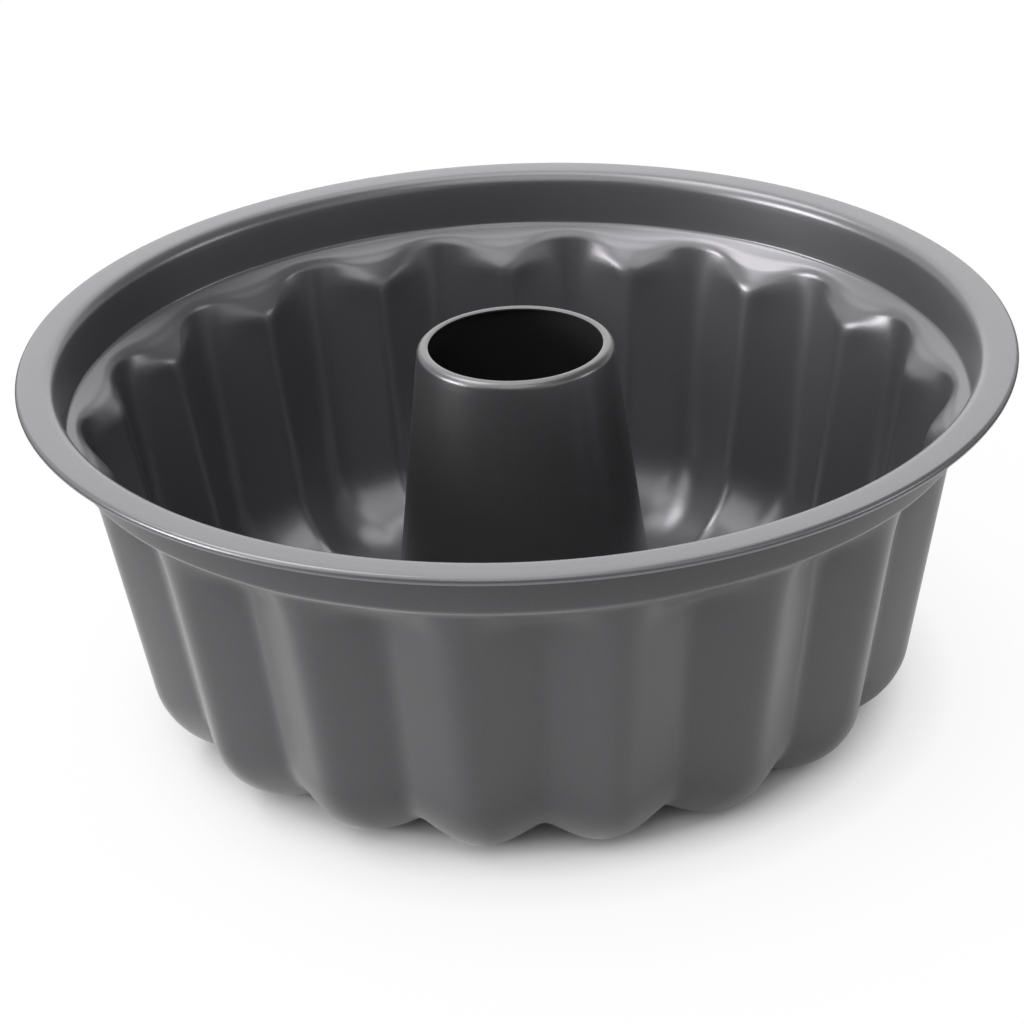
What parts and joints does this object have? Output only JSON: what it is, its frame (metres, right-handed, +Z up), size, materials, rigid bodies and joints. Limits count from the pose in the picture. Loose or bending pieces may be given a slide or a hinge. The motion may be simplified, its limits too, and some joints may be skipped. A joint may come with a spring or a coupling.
{
  "type": "fluted tube pan",
  "caption": "Round fluted cake pan of dark non-stick steel, with a flat curled rim, a collar and an open conical tube clinched into its floor.",
  "frame": {"origin": "on the table under the tube's axis, at the middle of the pan's base", "axes": "+Z up along the tube's axis, a groove of the wall faces -Y and a lobe faces +X"},
  "size_m": [0.25, 0.25, 0.096],
  "materials": {
    "shell_coating": "satin",
    "tube_coating": "satin"
  },
  "bodies": {
    "root": {"pan_shell": "shell_coating", "centre_tube": "tube_coating"}
  },
  "joints": []
}
